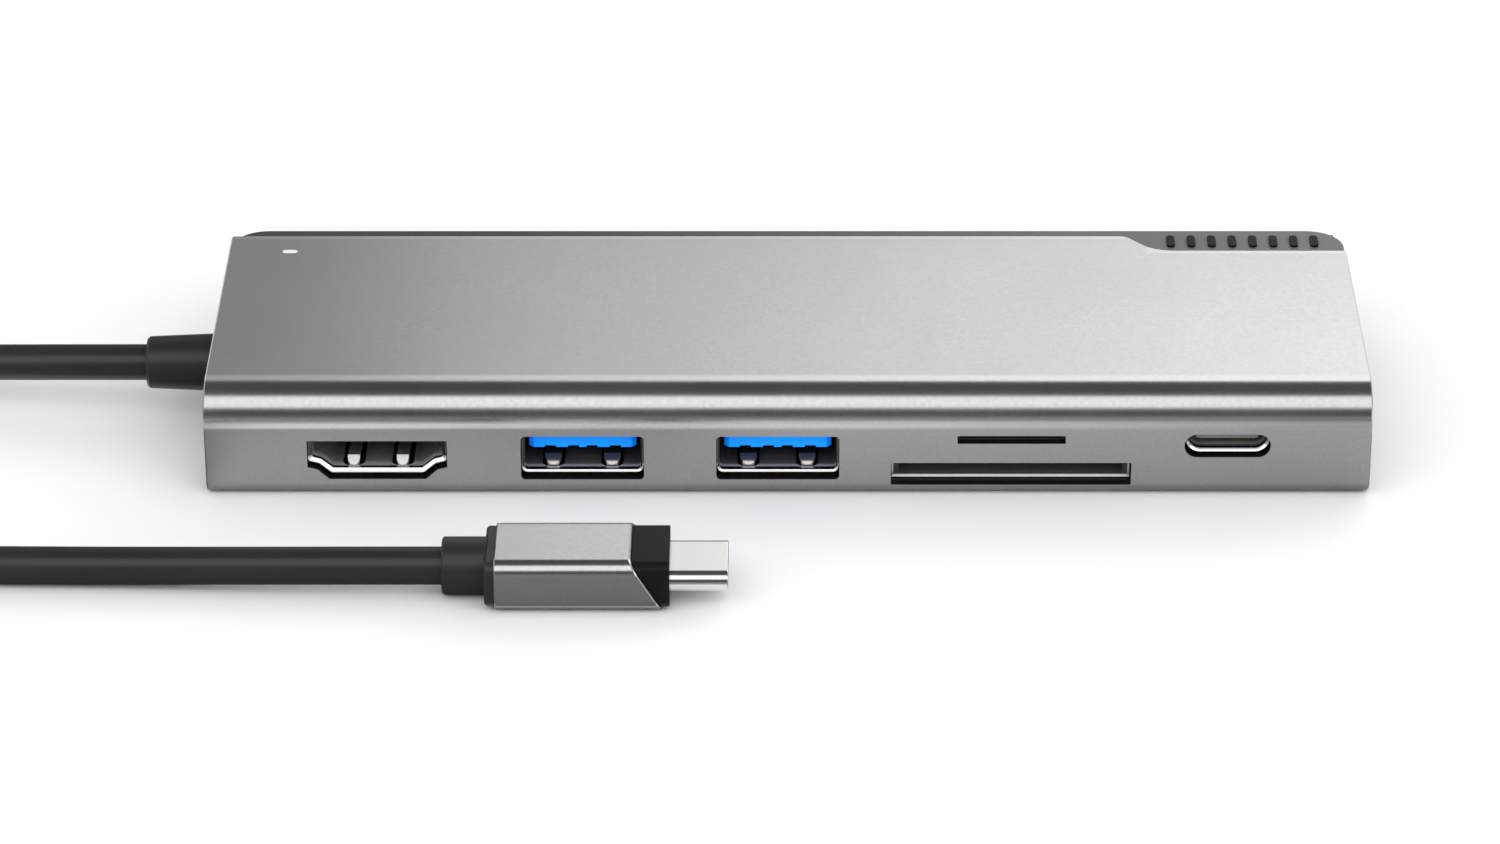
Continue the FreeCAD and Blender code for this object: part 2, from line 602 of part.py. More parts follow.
def usb_a_insert(x):
    mid = (TONGUE_HIGH + TONGUE_LOW) / 2
    front, bevel, half = -18.2, 0.5, 5.75
    plan = [(-half, -9.0), (-half, front + bevel), (-half + bevel, front), (half - bevel, front)]
    plan += [(half, front + bevel), (half, -9.0)]
    tongue = prism_z([(x + a, b, 0) for a, b in plan], TONGUE_LOW, TONGUE_HIGH)
    block = prism_y(rectangle(x, mid, USB_A_WIDE - 0.04, 2.6, 0.1), -9.2, USB_A_BACK - SHEET)
    tail_room = box(x - 5.2, x + 5.2, USB_A_BACK - SHEET - 0.1, USB_A_BACK + 1, 4.3, 6.0)
    notches = []
    for dx in (-3.5, -1.0, 1.0, 3.5):
        notches.append(box(x + dx - 0.6, x + dx + 0.6, -19, -16.6, TONGUE_LOW - 1, TONGUE_LOW + 0.2))
    return fused(tongue, block).cut(notches + usb_a_contacts(x) + [tail_room])


def tail_slot(shell, x, half, y_back, low, high):
    """Window in a shell's rear wall that the contacts' tails leave through."""
    return shell.cut(box(x - half, x + half, y_back - SHEET - 0.05, y_back + 1, low, high))


def usb_c_shell():
    outer = prism_y(usb_c_outline(SHEET), USB_C_FRONT, USB_C_BACK)
    inner = prism_y(usb_c_outline(), USB_C_FRONT - 1, USB_C_BACK - SHEET)
    rim = socket_rim(usb_c_outline, usb_c_hole(RIM_CLEAR), USB_C_RIM, USB_C_BEVEL)
    feet_ = [
        socket_foot(USB_C_X + sign * (USB_C_WIDE / 2 - 0.35), sign, y, 1.2)
        for sign in (-1, 1)
        for y in (-17.2, -13.4)
    ]
    return tail_slot(fused(outer.cut(inner), rim, *feet_), USB_C_X, 3.2, USB_C_BACK, 4.9, 7.0)


def usb_c_contacts():
    """Two rows of twelve contacts, over and under the tongue."""
    pins = []
    for i in range(12):
        x = USB_C_X + (i - 5.5) * 0.5
        for z, tail_y in ((USB_C_Z + 0.38, -10.4), (USB_C_Z - 0.38, -11.0)):
            path = [(-18.8, z), (-11.9, z), (-11.5, BOARD_TOP + 0.06), (tail_y, BOARD_TOP + 0.06)]
            pins.append(strip(path, 0.1, x, 0.24))
    return pins


def usb_c_insert():
    tongue = prism_y(rectangle(USB_C_X, USB_C_Z, 6.69, 0.7, 0.2), -18.9, -13.8)
    block = prism_y(
        rectangle(USB_C_X, USB_C_Z, USB_C_WIDE - 0.04, USB_C_HIGH - 0.04, 1.26), -14.0, USB_C_BACK - SHEET
    )
    return fused(tongue, block).cut(usb_c_contacts())


def sd_base():
    """Plastic frame of the full-size card socket, hung under the board."""
    half = SD_WIDE / 2 + 0.55
    frame = box(CARD_X - half, CARD_X + half, SD_FRONT + 0.2, SD_BACK, SD_LOW, BOARD_LOW)
    left, right = CARD_X - SD_WIDE / 2, CARD_X + SD_WIDE / 2
    channel = box(left, right, SD_FRONT - 1, SD_BACK - 1.6, SD_LOW - 1, SD_HIGH)
    return frame.cut([channel] + sd_contacts())


def sd_cover():
    """Folded metal cover that closes the card socket from below, its front edge flared downwards."""
    half = SD_WIDE / 2 + 0.75
    middle = SD_LOW - 0.1
    flare = [(SD_FRONT - 0.02, middle - 0.18), (SD_FRONT + 0.12, middle)]
    floor = strip(flare + [(SD_BACK, middle)], 0.2, CARD_X, 2 * half)
    sides = [
        box(min(a, b), max(a, b), SD_FRONT, SD_BACK, SD_LOW - 0.2, BOARD_LOW)
        for a, b in ((CARD_X - half, CARD_X - half + 0.2), (CARD_X + half - 0.2, CARD_X + half))
    ]
    return fused(floor, *sides)


def sd_contacts():
    pins = []
    for i in range(9):
        x = CARD_X + (i - 4) * 2.4
        tail = [(SD_BACK - 0.6, 3.85), (SD_BACK + 0.3, 4.12), (SD_BACK + 1.2, 4.12)]
        path = [(-6.0, 3.1), (-4.6, 3.0), (0.0, 3.85)] + tail
        pins.append(strip(path, 0.15, x, 0.9))
    return pins


SLIDER_X = (CARD_X + 4.55, CARD_X + 6.7)
SLIDER_Y = (-14.2, -11.4)
SLIDER_Z = (5.55, 6.75)
SPRING_X, SPRING_Z = CARD_X + 6.1, 6.15
SPRING_BACK = -5.0


def micro_sd_base():
    """Plastic frame of the small card socket, on top of the board, with the slider's track."""
    half = MICRO_WIDE / 2
    frame = box(CARD_X - half - 1.2, CARD_X + half + 1.75, MICRO_FRONT, MICRO_BACK, BOARD_TOP, MICRO_HIGH)
    channel = box(CARD_X - half, CARD_X + half, MICRO_FRONT - 1, -4.9, MICRO_LOW, MICRO_HIGH + 1)
    track_x = (SLIDER_X[0] - 0.1, SLIDER_X[1] + 0.05)
    track = box(*track_x, SLIDER_Y[0] - 0.1, SPRING_BACK, SLIDER_Z[0] - 0.05, MICRO_HIGH + 1)
    return frame.cut([channel, track] + micro_sd_contacts())


def micro_sd_cover():
    half = MICRO_WIDE / 2
    left, right = CARD_X - half - 1.35, CARD_X + half + 1.9
    top = box(left, right, MICRO_FRONT + 0.1, MICRO_BACK, MICRO_HIGH, MICRO_HIGH + 0.15)
    sides = [
        box(left, left + 0.15, MICRO_FRONT + 0.1, MICRO_BACK, BOARD_TOP, MICRO_HIGH + 0.15),
        box(right - 0.15, right, MICRO_FRONT + 0.1, MICRO_BACK, BOARD_TOP, MICRO_HIGH + 0.15),
    ]
    return fused(top, *sides)


def micro_sd_contacts():
    pins = []
    for i in range(8):
        x = CARD_X - 4.3 + i * 1.1
        tail = [(-4.6, 5.75), (-4.0, BOARD_TOP + 0.06), (-3.2, BOARD_TOP + 0.06)]
        path = [(-12.6, 6.15), (-11.9, 6.2), (-9.0, 5.75)] + tail
        pins.append(strip(path, 0.12, x, 0.6))
    return pins


def micro_sd_slider():
    """Block that the card's shoulder pushes back, with a pin inside the spring."""
    block = box(*SLIDER_X, *SLIDER_Y, *SLIDER_Z)
    pin = rod((SPRING_X, SLIDER_Y[1] - 0.2, SPRING_Z), (0, 1, 0), 0.2, 1.8)
    return fused(block, pin)


def micro_sd_spring():
    """Compression spring between the slider and the rear end of its track."""
    long, wire, coil = SPRING_BACK - SLIDER_Y[1], 0.08, 0.4
    turns = 9
    helix = Part.makeHelix((long - 2 * wire) / turns, long - 2 * wire, coil)
    ring = Part.Wire(Part.makeCircle(wire, Vector(coil, 0, 0), Vector(0, 1, 0)))
    spring = Part.Wire(helix.Edges).makePipeShell([ring], True, True)
    spring.rotate(Vector(0, 0, 0), Vector(1, 0, 0), -90)
    spring.translate(Vector(SPRING_X, SLIDER_Y[1] + wire, SPRING_Z))
    return spring


# ================================================================ lead
def cable_boot():
    """Strain relief moulded on the lead, held in the end wall like a grommet."""
    inside, outside = -INNER_X, -END_X - 0.05
    profile = [
        (inside + 1.3, CABLE_R),
        (inside + 1.3, 3.9),
        (inside, 3.9),
        (inside, 2.75),
        (outside, 2.75),
        (outside, 3.18),
        (BOOT_END_X + 0.3, 2.87),
        (BOOT_END_X, 2.65),
        (BOOT_END_X, CABLE_R),
    ]
    return turned(profile, (EXIT_Y, EXIT_Z), outside)


def cable():
    return tube(CABLE_ROUTE, CABLE_R, "cable")


def cable_wires():
    """Insulated cores from the end of the jacket to the board's pads."""
    cores = []
    start_x = CABLE_ROUTE[0][0]
    board = BOARD_TOP + FOOT_HEIGHT + 0.35
    for i in range(5):
        side = i - 2
        y0, y1 = EXIT_Y + side * 0.65, EXIT_Y + side * 1.5
        path = [(start_x, y0, EXIT_Z), (start_x + 2, y0, EXIT_Z)]
        path += [(start_x + 4.4, y1, board), (start_x + 6.6, y1, board)]
        cores.append(tube(path, 0.3))
    return cores


def plug_outline(shrink=0.0):
    outline = rectangle(PLUG_Y, PLUG_Z, PLUG_WIDE - 2 * shrink, PLUG_HIGH - 2 * shrink, PLUG_ROUND - shrink)
    return outline


def plug_boot():
    """Collar on the lead and the flange that closes the back of the plug."""
    profile = [
        (COLLAR_BACK_X, CABLE_R),
        (COLLAR_BACK_X, 2.85),
        (COLLAR_BACK_X + 0.2, 3.05),
        (FLANGE_BACK_X + 0.2, 3.05),
        (FLANGE_BACK_X + 0.2, CABLE_R),
    ]
    collar = turned(profile, (PLUG_Y, PLUG_Z), COLLAR_BACK_X)
    flange = prism_x(plug_outline(0.3), FLANGE_BACK_X, SLEEVE_BACK_X)
    back_edge = [e for e in flange.Edges if e.BoundBox.XMax < FLANGE_BACK_X + 1e-3]
    flange = flange.makeChamfer(0.25, back_edge)
    bore = rod((COLLAR_BACK_X - 1, PLUG_Y, PLUG_Z), (1, 0, 0), CABLE_R, 8)
    return fused(collar, flange).cut(bore)


SLANT_TOP_X = -16.4
SLANT_LOW_X = -12.9
SLEEVE_WALL = 0.5
SLEEVE_EDGE = 0.12  # bright bevel at both ends of the sleeve
NOSE_INSET = 0.26


def slant_cut(forward):
    """Everything in front of the slanting end of the sleeve, moved forward by a gap."""
    top, low = PLUG_Z + PLUG_HIGH / 2, PLUG_Z - PLUG_HIGH / 2
    lean = (SLANT_LOW_X - SLANT_TOP_X) / (top - low)
    corners = [
        (SLANT_TOP_X - lean + forward, top + 1, 0),
        (0, top + 1, 0),
        (0, low - 1, 0),
        (SLANT_LOW_X + lean + forward, low - 1, 0),
    ]
    return prism_y(corners, PLUG_Y - PLUG_WIDE, PLUG_Y + PLUG_WIDE)


def plug_sleeve():
    sleeve = prism_x(plug_outline(), SLEEVE_BACK_X, NOSE_END_X).cut(slant_cut(0))
    ends = [e for e in sleeve.Edges if e.BoundBox.XLength < abs(SLANT_TOP_X - SLANT_LOW_X) + 1e-3]
    hollow = prism_x(plug_outline(SLEEVE_WALL), SLEEVE_BACK_X - 1, NOSE_END_X + 1)
    return sleeve.makeChamfer(SLEEVE_EDGE, ends).cut(hollow)


def plug_nose():
    """Black plastic front of the plug, with a skirt inside the sleeve."""
    front = prism_x(plug_outline(NOSE_INSET), SLANT_TOP_X - 1, NOSE_END_X).common(slant_cut(0.06))
    skirt = prism_x(plug_outline(SLEEVE_WALL + 0.05), -20.0, NOSE_END_X - 0.5)
    room = prism_x(plug_outline(1.3), -21.0, NOSE_END_X - 1.2)
    mouth = prism_x(rectangle(PLUG_Y, PLUG_Z, 8.25, 2.4, 1.19), -21.0, NOSE_END_X + 1)
    return fused(front, skirt).cut([room, mouth])


def plug_tip():
    """Metal USB-C tip: an open stadium-shaped tube."""
    outer = prism_x(rectangle(PLUG_Y, PLUG_Z, 8.25, 2.4, 1.19), -18.0, TIP_END_X)
    inner = prism_x(rectangle(PLUG_Y, PLUG_Z, 7.65, 1.8, 0.89), -19.0, TIP_END_X + 1)
    edge = [e for e in outer.Edges if e.BoundBox.XMin > TIP_END_X - 1e-3]
    return outer.makeFillet(0.14, edge).cut(inner)


def plug_contacts():
    pins = []
    for i in range(12):
        y = PLUG_Y + (i - 5.5) * 0.5
        for sign in (1, -1):
            near, far = sorted((PLUG_Z + sign * 0.42, PLUG_Z + sign * 0.54))
            pins.append(box(-17.4, TIP_END_X - 1.0, y - 0.12, y + 0.12, near, far))
    return pins


def plug_insert():
    """Plastic carrier inside the tip, hollow where the socket's tongue goes."""
    carrier = prism_x(rectangle(PLUG_Y, PLUG_Z, 7.61, 1.76, 0.87), -18.0, TIP_END_X - 0.5)
    slot = prism_x(rectangle(PLUG_Y, PLUG_Z, 6.9, 0.84, 0.2), -11.2, TIP_END_X + 1)
    return carrier.cut([slot] + plug_contacts())


def plug_board():
    """Small board in the plug, between the lead's cores and the tip."""
    return box(-29.4, -18.05, PLUG_Y - 3.8, PLUG_Y + 3.8, PLUG_Z - 0.3, PLUG_Z + 0.3)


# ================================================================ all nodes
def raised(shape):
    """The case's own parts are drawn from the underside of the case, and stand on the feet."""
    shape.translate(Vector(0, 0, FOOT_HEIGHT))
    return shape


def export(name, solids, lift=True):
    group = solids if isinstance(solids, list) else [solids]
    shape = group[0] if len(group) == 1 else Part.makeCompound(group)
    if lift:
        shape = raised(shape)
    for solid in shape.Solids:
        if not solid.isValid() or solid.Volume <= 0:
            print(f"{name}: a solid is not valid")
    print(f"{name}: {len(shape.Solids)} solids, {shape.Volume:.2f} mm3")
    shape.exportStep(f"parts/{name}.step")


def main():
    os.makedirs("parts", exist_ok=True)
    export("top_shell", top_shell())
    export("chassis", chassis())
    export("trim_bars", trim_bars())
    export("base_plate", base_plate())
    export("cover_screws", cover_screws())
    export("feet", feet())
    export("main_board", main_board())
    export("board_screws", board_screws())
    export("hub_chip", chip(*HUB_CHIP))
    export("video_chip", chip(*VIDEO_CHIP))
    export("card_reader_chip", chip(28.0, 6.0, 6.0, 6.0, 0.85))
    export("power_chip", chip(46.0, 2.0, 5.0, 5.0, 0.8))
    export("memory_chip", chip(8.0, 9.0, 5.0, 4.0, 1.5))
    export("thermal_pads", thermal_pads())
    export("crystals", small_parts([(-22.5, 7.5), (-28.5, 6.0)], 3.2, 2.5, 0.8))
    export("inductors", inductors())
    export("capacitors", capacitors())
    export("led_lamp", small_parts([(LED_X, LED_Y)], 1.6, 0.8, 0.6))
    export("light_pipe", light_pipe())
    export("hdmi_shell", tail_slot(hdmi_shell(), HDMI_X, 5.4, HDMI_BACK, 4.3, 5.95))
    export("hdmi_insert", hdmi_insert())
    export("hdmi_contacts", hdmi_contacts())
    for side, x in USB_A_X.items():
        export(f"usb_a_{side}_shell", tail_slot(usb_a_shell(x), x, 5.4, USB_A_BACK, 4.2, 5.9))
        export(f"usb_a_{side}_insert", usb_a_insert(x))
        export(f"usb_a_{side}_contacts", usb_a_contacts(x))
    export("usb_c_shell", usb_c_shell())
    export("usb_c_insert", usb_c_insert())
    export("usb_c_contacts", usb_c_contacts())
    export("sd_base", sd_base())
    export("sd_cover", sd_cover())
    export("sd_contacts", sd_contacts())
    export("micro_sd_base", micro_sd_base())
    export("micro_sd_cover", micro_sd_cover())
    export("micro_sd_contacts", micro_sd_contacts())
    export("micro_sd_slider", micro_sd_slider())
    export("micro_sd_spring", micro_sd_spring())
    export("cable_boot", cable_boot(), lift=False)
    export("cable", cable(), lift=False)
    export("cable_wires", cable_wires(), lift=False)
    export("plug_boot", plug_boot(), lift=False)
    export("plug_sleeve", plug_sleeve(), lift=False)
    export("plug_nose", plug_nose(), lift=False)
    export("plug_tip", plug_tip(), lift=False)
    export("plug_insert", plug_insert(), lift=False)
    export("plug_contacts", plug_contacts(), lift=False)
    export("plug_board", plug_board(), lift=False)


main()
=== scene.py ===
import json
import math

import bpy
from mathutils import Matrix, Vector


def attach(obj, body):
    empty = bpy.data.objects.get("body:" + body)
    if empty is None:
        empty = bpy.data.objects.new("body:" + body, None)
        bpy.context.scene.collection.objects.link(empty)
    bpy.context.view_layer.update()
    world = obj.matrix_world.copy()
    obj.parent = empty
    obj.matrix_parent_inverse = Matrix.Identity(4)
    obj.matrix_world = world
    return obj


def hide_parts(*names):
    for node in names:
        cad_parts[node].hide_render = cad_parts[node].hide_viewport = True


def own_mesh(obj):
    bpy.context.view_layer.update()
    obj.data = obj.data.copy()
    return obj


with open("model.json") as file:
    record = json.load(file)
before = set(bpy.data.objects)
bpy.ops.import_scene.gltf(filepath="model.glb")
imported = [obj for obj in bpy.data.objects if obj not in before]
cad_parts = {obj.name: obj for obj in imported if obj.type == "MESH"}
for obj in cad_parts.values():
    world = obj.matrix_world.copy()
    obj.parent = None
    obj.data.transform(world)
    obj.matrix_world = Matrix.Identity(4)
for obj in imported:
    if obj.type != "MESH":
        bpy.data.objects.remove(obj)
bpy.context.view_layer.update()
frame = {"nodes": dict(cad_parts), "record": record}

MM = 0.001
MICRON = 0.000001
NODES = frame["nodes"]
BODY = "hub"

# Camera: place in metres, downward pitch in degrees, lens in mm.
CAMERA_PLACE = Vector((-0.7, -561.3, 296.8)) * MM
CAMERA_SHIFT = -0.0209
CAMERA_PITCH = 28.0
CAMERA_LENS = 137.7
SENSOR_WIDTH = 36.0

# Room: strength of the light on matt surfaces, and in reflections ahead and to the sides.
ROOM_FILL = 0.78
ROOM_GLOSS = 0.06
SIDE_GLOSS = 0.55
SIDE_STARTS, SIDE_FULL = 0.35, 0.7  # sideways part of a ray's direction

# Lamps: degrees up from the horizon behind the object, distance and size in metres, radiance.
LAMP_DISTANCE = 0.9
LAMP_AIM_HEIGHT = 0.01
FRONT_BOX_ANGLE, FRONT_BOX_SIZE, FRONT_BOX_RADIANCE = 132, (4.0, 0.65), 1.33
BACK_STRIP_ANGLE, BACK_STRIP_DEPTH = 37, 0.44
BACK_STRIPS = [  # sideways place, width, radiance
    (-0.175, 0.15, 0.2),
    (-0.050, 0.10, 0.9),
    (0.050, 0.10, 1.35),
    (0.150, 0.10, 1.65),
    (0.700, 1.00, 1.85),
]

# Floor and the grey card on it, in metres.
FLOOR_HALF = 6.0
FLOOR_DROP = 0.02 * MM
CARD_LIFT = 0.04 * MM
CARD_HALF_WIDTH, CARD_FRONT = 1.5, -1.6
CARD_EDGE = -0.0457
TIP_WINDOW = (-0.0125, -0.0055, -0.054)  # left, right and front of the gap around the plug's tip
LEAD_SIDE = (-0.0315, -0.0405)  # right and rear of the card behind the plug's lead
EXIT_SIDE = (-0.0626, -0.0040)  # right and rear of the card in front of the lead's exit

# Places where a material or its painted shade and highlights change, in mm of the object's own frame.
SHELL_TOP = 12.4
PLUG_TOP = 5.9
CASE_ENDS = (-60.0, 60.0)
PORT_FACE_Y = -20.0
HDMI_ENDS, HDMI_SHOULDER = (-53.0, -35.0), 4.7
USB_A_ENDS, USB_A_RIM_TOP = (-30.0, 7.0), 3.4
USB_C_ENDS, USB_C_RIM_TOP = (41.0, 53.0), 6.4

CABLE_DIAMETER = 4.0 * MM
CABLE_ROUTE = [
    (-0.0582, -0.0011, 0.0064),
    (-0.0810, -0.0011, 0.0064),
    (-0.1065, 0.0073, 0.0020),
    (-0.1238, -0.0037, 0.0020),
    (-0.1268, -0.0232, 0.0020),
    (-0.1130, -0.0382, 0.0020),
    (-0.0750, -0.0389, 0.0020),
    (-0.0460, -0.0406, 0.0030),
    (-0.0296, -0.0406, 0.0030),
]


# ---------------------------------------------------------------- materials
class Nodes:
    """Short way to write a material's node tree."""

    def __init__(self, name):
        self.material = bpy.data.materials.new(name)
        self.material.use_nodes = True
        self.tree = self.material.node_tree
        self.shader = self.tree.nodes["Principled BSDF"]

    def add(self, kind, **sockets):
        node = self.tree.nodes.new(kind)
        for key, value in sockets.items():
            if key in node.inputs:
                node.inputs[key].default_value = value
            else:
                setattr(node, key, value)
        return node

    def link(self, source, target):
        self.tree.links.new(source, target)

    def position(self, scale):
        """The surface point in the object's own frame, in units of one over scale metres."""
        where = self.add("ShaderNodeTexCoord")
        mapping = self.add("ShaderNodeMapping")
        mapping.inputs["Scale"].default_value = scale if hasattr(scale, "__len__") else (scale,) * 3
        self.link(where.outputs["Object"], mapping.inputs["Vector"])
        return mapping.outputs["Vector"]

    def place(self):
        """The surface point's X, Y and Z in the object's own frame, in mm."""
        split = self.add("ShaderNodeSeparateXYZ")
        self.link(self.position(1 / MM), split.inputs[0])
        return split.outputs

    def noise(self, scale, detail=3.0, roughness=0.55):
        noise = self.add("ShaderNodeTexNoise", Detail=detail, Roughness=roughness)
        noise.inputs["Scale"].default_value = 1.0
        self.link(self.position(scale), noise.inputs["Vector"])
        return noise.outputs["Fac"]

    def ramp(self, source, low, high, start=0.3, end=0.7):
        """Maps a factor from start..end to low..high, numbers or colours."""
        spread = self.add("ShaderNodeMapRange") if not hasattr(low, "__len__") else None
        if spread:
            for key, value in (("From Min", start), ("From Max", end), ("To Min", low), ("To Max", high)):
                spread.inputs[key].default_value = value
            self.link(source, spread.inputs["Value"])
            return spread.outputs["Result"]
        ramp = self.add("ShaderNodeValToRGB")
        ramp.color_ramp.elements[0].position = start
        ramp.color_ramp.elements[1].position = end
        ramp.color_ramp.elements[0].color = (*low, 1)
        ramp.color_ramp.elements[1].color = (*high, 1)
        self.link(source, ramp.inputs["Fac"])
        return ramp.outputs["Color"]

    def math(self, operation, first, second):
        node = self.add("ShaderNodeMath", operation=operation)
        for socket, value in zip(node.inputs, (first, second)):
            if hasattr(value, "links"):
                self.link(value, socket)
            else:
                socket.default_value = value
        return node.outputs[0]

    def scaled(self, colour, scale):
        """A colour times a number that may be above one."""
        node = self.add("ShaderNodeVectorMath", operation="SCALE")
        if hasattr(colour, "links"):
            self.link(colour, node.inputs[0])
        else:
            node.inputs[0].default_value = colour
        self.link(scale, node.inputs["Scale"])
        return node.outputs[0]

    def bump(self, source, distance, strength=1.0):
        bump = self.add("ShaderNodeBump", Strength=strength, Distance=distance)
        self.link(source, bump.inputs["Height"])
        self.link(bump.outputs["Normal"], self.shader.inputs["Normal"])

    def set(self, **sockets):
        for key, value in sockets.items():
            name = key.replace("_", " ")
            if hasattr(value, "links"):
                self.link(value, self.shader.inputs[name])
            else:
                self.shader.inputs[name].default_value = value
        return self.material


def both(m, first, second):
    """Product of two masks."""
    return m.math("MULTIPLY", first, second)


def above(m, source, low, high):
    """Zero up to low, rising to one at high."""
    return m.ramp(source, 0.0, 1.0, low, high)


def under(m, source, low, high):
    """One up to low, falling to zero at high."""
    return m.ramp(source, 1.0, 0.0, low, high)


def band(m, source, low, high, soft):
    """One between low and high, fading to zero over a soft width outside them."""
    return both(m, above(m, source, low - soft, low), under(m, source, high, high + soft))


def port_face_painted_light(m, along, depth, height, flat):
    """Painted light masks on the shell, each with its gain at the lead's end of the case and at the other; a
    gain under one is painted shade, over one a painted highlight.
    """
    behind_face = above(m, depth, PORT_FACE_Y + 0.03, PORT_FACE_Y + 0.15)
    cut_edges = both(m, behind_face, band(m, height, 1.33, 7.6, 0.05))
    lower_line = both(m, band(m, height, 8.35, 9.1, 0.35), under(m, depth, -19.5, -19.0))
    beside_step = both(m, band(m, depth, 13.95, 15.0, 0.3), above(m, along, 39.5, 41.0))
    rear_line = m.math("MAXIMUM", band(m, depth, 17.6, 19.0, 0.3), beside_step)
    return [
        # painted shade on the flat top, darkest at the lead's end
        (flat, 0.84, 0.98),
        (under(m, height, 7.9, 8.9), 0.84, 0.69),  # painted shade on the port face, darker away from the lead
        (under(m, height, 1.7, 8.2), 0.78, 0.78),  # more painted shade on its lower part
        (under(m, height, 1.1, 1.7), 0.7, 0.7),  # painted shade on the lip
        # painted shade on the cut edges inside the port holes
        (cut_edges, 0.2, 0.2),
        (band(m, depth, -16.5, -16.0, 0.6), 1.5, 1.05),  # painted highlight on the line where the rounded edge begins
        (lower_line, 2.1, 0.8),  # painted highlight on the line where it ends, turning to painted shade away from the lead
        # painted highlight along the rear edge and beside its step
        (rear_line, 1.25, 1.12),
    ]


def blasted_aluminium(name, tone, top, rough=0.24, port_face=False):
    """Bead-blasted and anodised metal, whose flat top, at a height of top mm, is a little milky.

    On the shell the port face is blasted coarser, and painted shade darkens the flat top, the port face, its
    lip and, most of all, the cut edges of the port holes. Painted highlights brighten the two lines where
    the rounded edge begins and ends, most of all towards the lead, and the line along the rear edge. On the
    plug, painted shade darkens the lowest mm.
    """
    m = Nodes(name)
    grain = m.noise(7000, 2.0, 0.6)
    patches = m.noise(60, 3.0)
    m.bump(grain, 4 * MICRON, 0.3)
    roughness = m.ramp(patches, rough - 0.02, rough + 0.02)
    shade = both(m, m.ramp(patches, 0.97, 1.0), m.ramp(m.noise(2600, 2.0, 0.6), 0.95, 1.04))
    along, depth, height = m.place()
    flat = above(m, height, top - 0.05, top - 0.01)
    metal = m.ramp(flat, 1.0, 0.86, 0.0, 1.0)
    if port_face:
        coarse = m.ramp(height, 0.5, 0.0, 8.7, 9.6)
        roughness = m.math("MAXIMUM", roughness, coarse)
        # painted shade and painted highlights on the shell, each mask's gain ramped along the case
        for mask, left, right in port_face_painted_light(m, along, depth, height, flat):
            gain = m.ramp(along, left, right, *CASE_ENDS)
            change = both(m, mask, m.math("SUBTRACT", gain, 1.0))
            shade = both(m, shade, m.math("ADD", change, 1.0))
    else:
        # painted shade along the plug's lowest mm, where the contact shadow falls
        painted_shade_low_edge = m.ramp(height, 0.25, 1.0, 0.5, 1.1)
        shade = both(m, shade, painted_shade_low_edge)
    return m.set(Base_Color=m.scaled(tone, shade), Metallic=metal, Roughness=roughness)


def moulded_plastic(name, tone, rough=0.45, shine=0.5, painted_shade_at_lead=None):
    """Moulded plastic or rubber with a fine grain; an optional painted shade darkens its end by the lead to
    the given share.
    """
    m = Nodes(name)
    grain = m.noise(4000, 2.0, 0.6)
    patches = m.noise(90, 3.0)
    m.bump(grain, 6 * MICRON, 0.6)
    low = tuple(c * 0.88 for c in tone)
    roughness = m.ramp(patches, rough - 0.04, rough + 0.04)
    m.set(Specular_IOR_Level=shine)
    colour = m.ramp(patches, low, tone)
    if painted_shade_at_lead is not None:
        # painted shade, darkest at the lead's end
        along = m.place()["X"]
        colour = m.scaled(colour, m.ramp(along, painted_shade_at_lead, 1.0, -30.0, 60.0))
    return m.set(Base_Color=colour, Roughness=roughness)


def socket_nylon(name, tone):
    """Coloured nylon with a painted blue glow at the mouth of the socket; deeper in, painted shade turns it
    black.
    """
    m = Nodes(name)
    grain = m.noise(5000, 2.0)
    m.bump(grain, 4 * MICRON, 0.4)
    inside = above(m, m.place()["Y"], -17.9, -17.2)
    # painted glow at the socket's mouth, and painted shade that turns the colour black deeper in
    m.set(Specular_IOR_Level=0.25, Emission_Strength=1.0)
    m.set(Emission_Color=m.ramp(inside, (0.0, 0.06, 0.4), (0.0, 0.0, 0.0), 0.0, 1.0))
    colour = m.ramp(inside, tone, (0.01, 0.01, 0.011), 0.0, 1.0)
    return m.set(Base_Color=colour, Roughness=m.ramp(grain, 0.4, 0.5))


def socket_shade(m, along, depth, height):
    """Share of its tone that a socket's metal keeps under painted shade, which darkens the upper rims and
    the metal behind the spring tips and the USB-C rim, so the low rims and spring tips stay bright.
    """
    rim = band(m, depth, -20.5, -18.95, 0.05)
    shade = 1.0
    for ends, rim_top, share in (
        (HDMI_ENDS, HDMI_SHOULDER, 0.12),
        (USB_A_ENDS, USB_A_RIM_TOP, 0.12),
        (USB_C_ENDS, USB_C_RIM_TOP, 0.3),
    ):
        # painted shade on the upper rims
        upper_rim = both(m, rim, above(m, height, rim_top - 0.12, rim_top + 0.12))
        upper_rim = both(m, upper_rim, band(m, along, *ends, 1.0))
        shade = both(m, m.ramp(upper_rim, 1.0, share, 0.0, 1.0), shade)
    # painted shade on the slopes behind the USB-A spring tips
    behind_tips = both(m, band(m, along, *USB_A_ENDS, 1.0), above(m, depth, -18.5, -18.42))
    # painted shade on the metal behind the USB-C rim
    behind_rim = both(m, band(m, along, *USB_C_ENDS, 1.0), band(m, depth, -19.56, -18.6, 0.06))
    painted_shade_behind_tips = both(m, behind_tips, m.ramp(height, 0.6, 0.85, 3.06, 3.2))
    shade = both(m, m.math("SUBTRACT", 1.0, painted_shade_behind_tips), shade)
    return both(m, m.ramp(behind_rim, 1.0, 0.4, 0.0, 1.0), shade)


